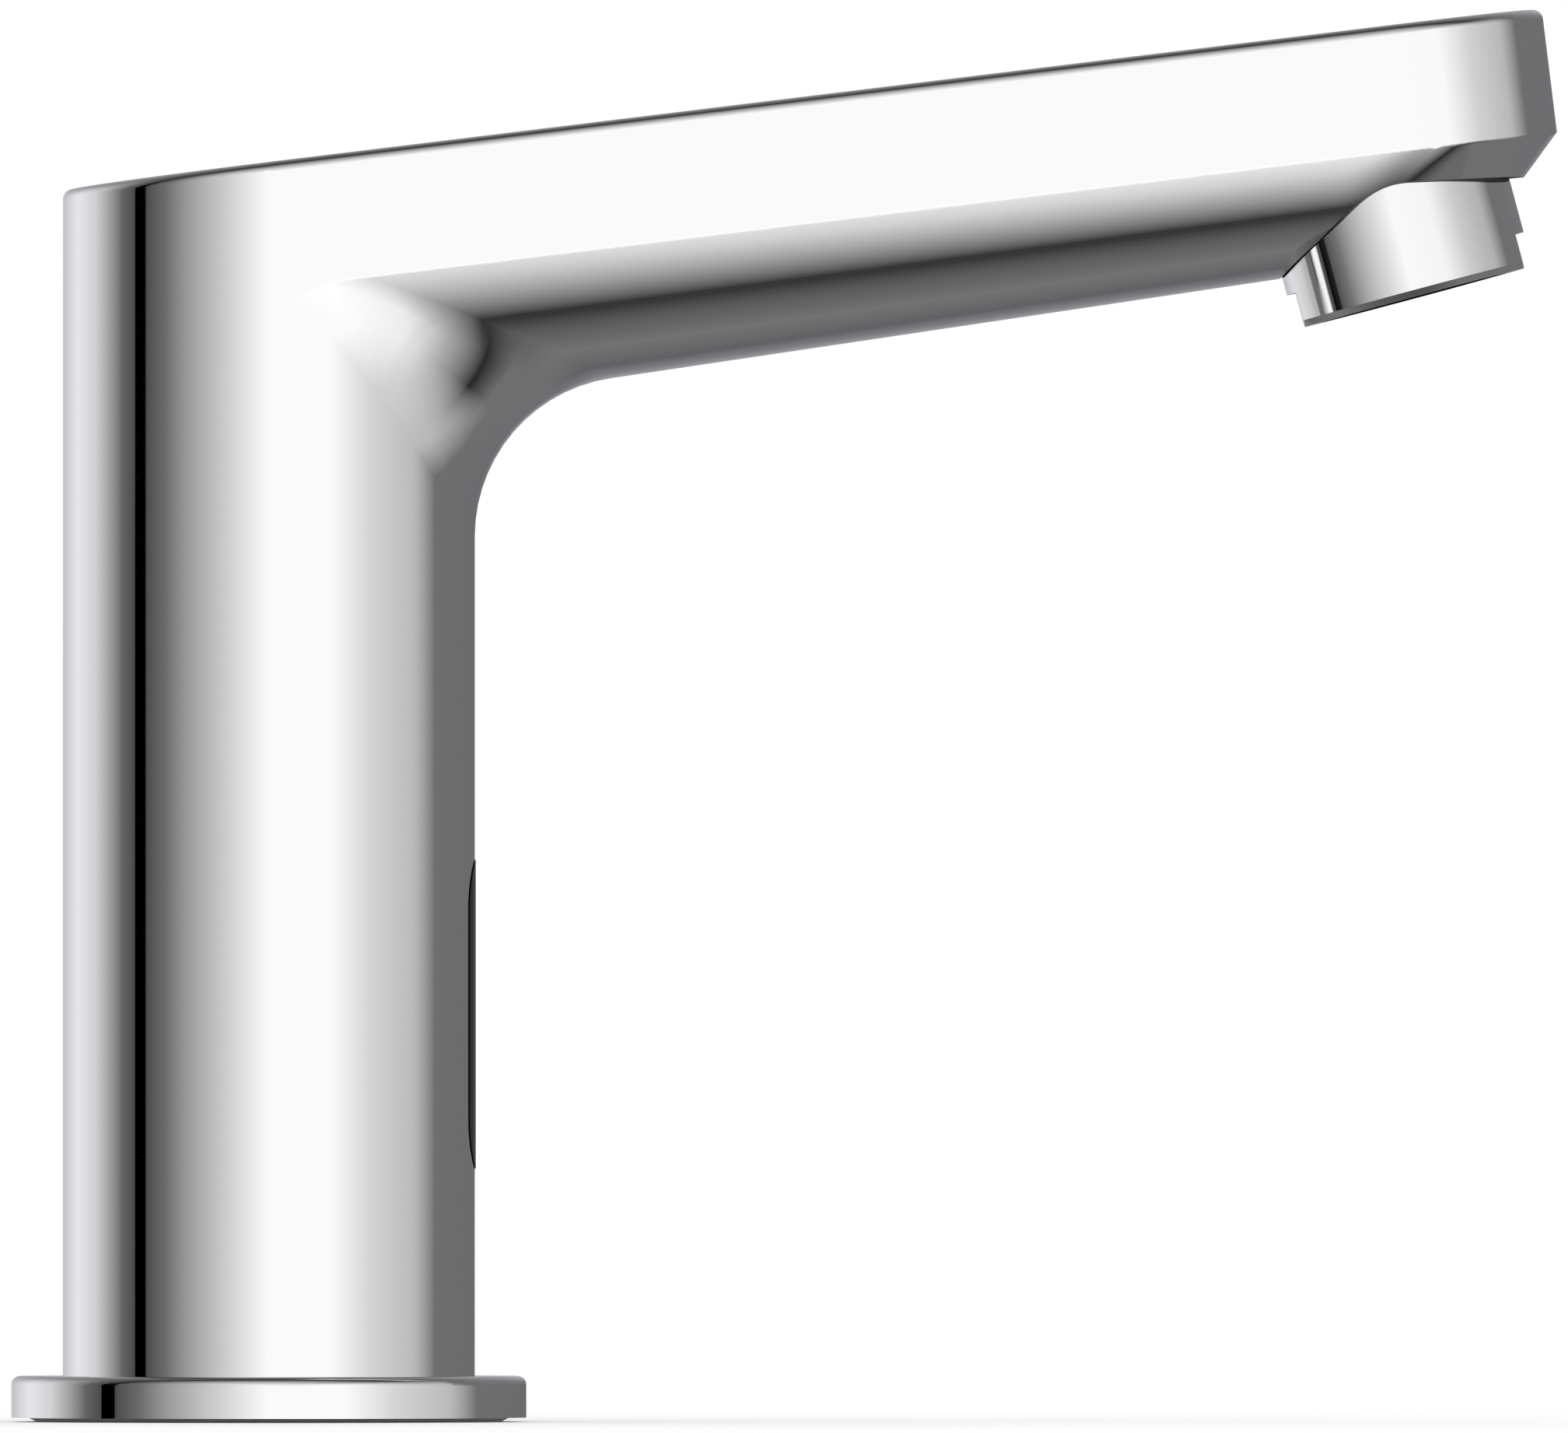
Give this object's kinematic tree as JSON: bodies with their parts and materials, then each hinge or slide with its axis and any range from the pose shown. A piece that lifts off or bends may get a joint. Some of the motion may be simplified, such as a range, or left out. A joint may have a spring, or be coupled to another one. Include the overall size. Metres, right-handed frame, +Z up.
{
  "type": "sensor tap",
  "caption": "Deck-mounted infrared sensor tap: chromed round column, rising tapered spout with a leaning aerator, black sensor window in the column's front.",
  "frame": {"origin": "on the column's axis at the deck surface, which is the mouth of the fixing stud's thread", "axes": "+X along the spout towards the user, +Z up, symmetric about the XZ plane"},
  "size_m": [0.15, 0.05, 0.137],
  "materials": {
    "chrome": "mirror-polished chromium plate on brass",
    "brass": "machined, unplated",
    "steel": "stainless, as machined",
    "copper": "drawn copper",
    "seal_rubber": "moulded grey rubber",
    "rubber": "moulded black rubber",
    "white_plastic": "moulded acetal",
    "grey_plastic": "moulded acetal, grey",
    "black_plastic": "moulded, fine grain",
    "black_gloss": "polished, infrared-clear black",
    "circuit_board": "green solder mask",
    "clear_plastic": "water-clear moulded diode"
  },
  "bodies": {
    "tap": {"tap_body": "chrome", "base_flange": "chrome", "base_seal": "seal_rubber", "base_plate": "brass", "base_screws": "steel", "cable_grommet": "rubber", "tie_rods": "steel", "inlet_riser": "brass", "riser_o_rings": "rubber", "inlet_strainer": "steel", "check_valve_body": "white_plastic", "check_guide": "white_plastic", "check_spring": "steel", "valve_body": "white_plastic", "diaphragm": "rubber", "valve_bonnet": "white_plastic", "bonnet_screws": "steel", "core_tube": "steel", "fixed_core": "steel", "plunger_spring": "steel", "coil_bobbin": "black_plastic", "coil_winding": "copper", "coil_yoke": "steel", "coil_nut": "steel", "outlet_tube": "copper", "tube_o_rings": "rubber", "aerator_housing": "chrome", "outlet_grille": "grey_plastic", "aerator_screens": "steel", "aerator_mixer": "white_plastic", "flow_regulator": "white_plastic", "regulator_o_ring": "rubber", "aerator_washer": "rubber", "sensor_window": "black_gloss", "sensor_gasket": "rubber", "sensor_housing": "black_plastic", "sensor_board": "circuit_board", "infrared_emitter": "clear_plastic", "infrared_receiver": "black_gloss", "status_led": "clear_plastic", "sensor_bridge": "steel", "bridge_screws": "steel"},
    "solenoid_plunger": {"plunger": "steel", "plunger_pad": "rubber"},
    "diaphragm_centre": {"diaphragm_insert": "grey_plastic"},
    "check_poppet_body": {"check_poppet": "grey_plastic"}
  },
  "joints": [
    {"name": "plunger_slide", "type": "slide", "parent": "tap", "child": "solenoid_plunger", "axis": [0, 0, 1], "range_m": [0, 0.0016], "stiffness_N_per_m": 600, "springref_m": -0.002, "deforming": ["plunger_spring"]},
    {"name": "diaphragm_lift", "type": "slide", "parent": "tap", "child": "diaphragm_centre", "axis": [0, 0, 1], "range_m": [0, 0.0012], "stiffness_N_per_m": 200, "springref_m": -0.002},
    {"name": "check_valve_slide", "type": "slide", "parent": "tap", "child": "check_poppet_body", "axis": [0, 0, 1], "range_m": [0, 0.0022], "stiffness_N_per_m": 100, "springref_m": -0.003, "deforming": ["check_spring"]}
  ],
  "couplings": [
    {"joint": "diaphragm_lift", "follows": "plunger_slide", "ratio": 0.75}
  ]
}
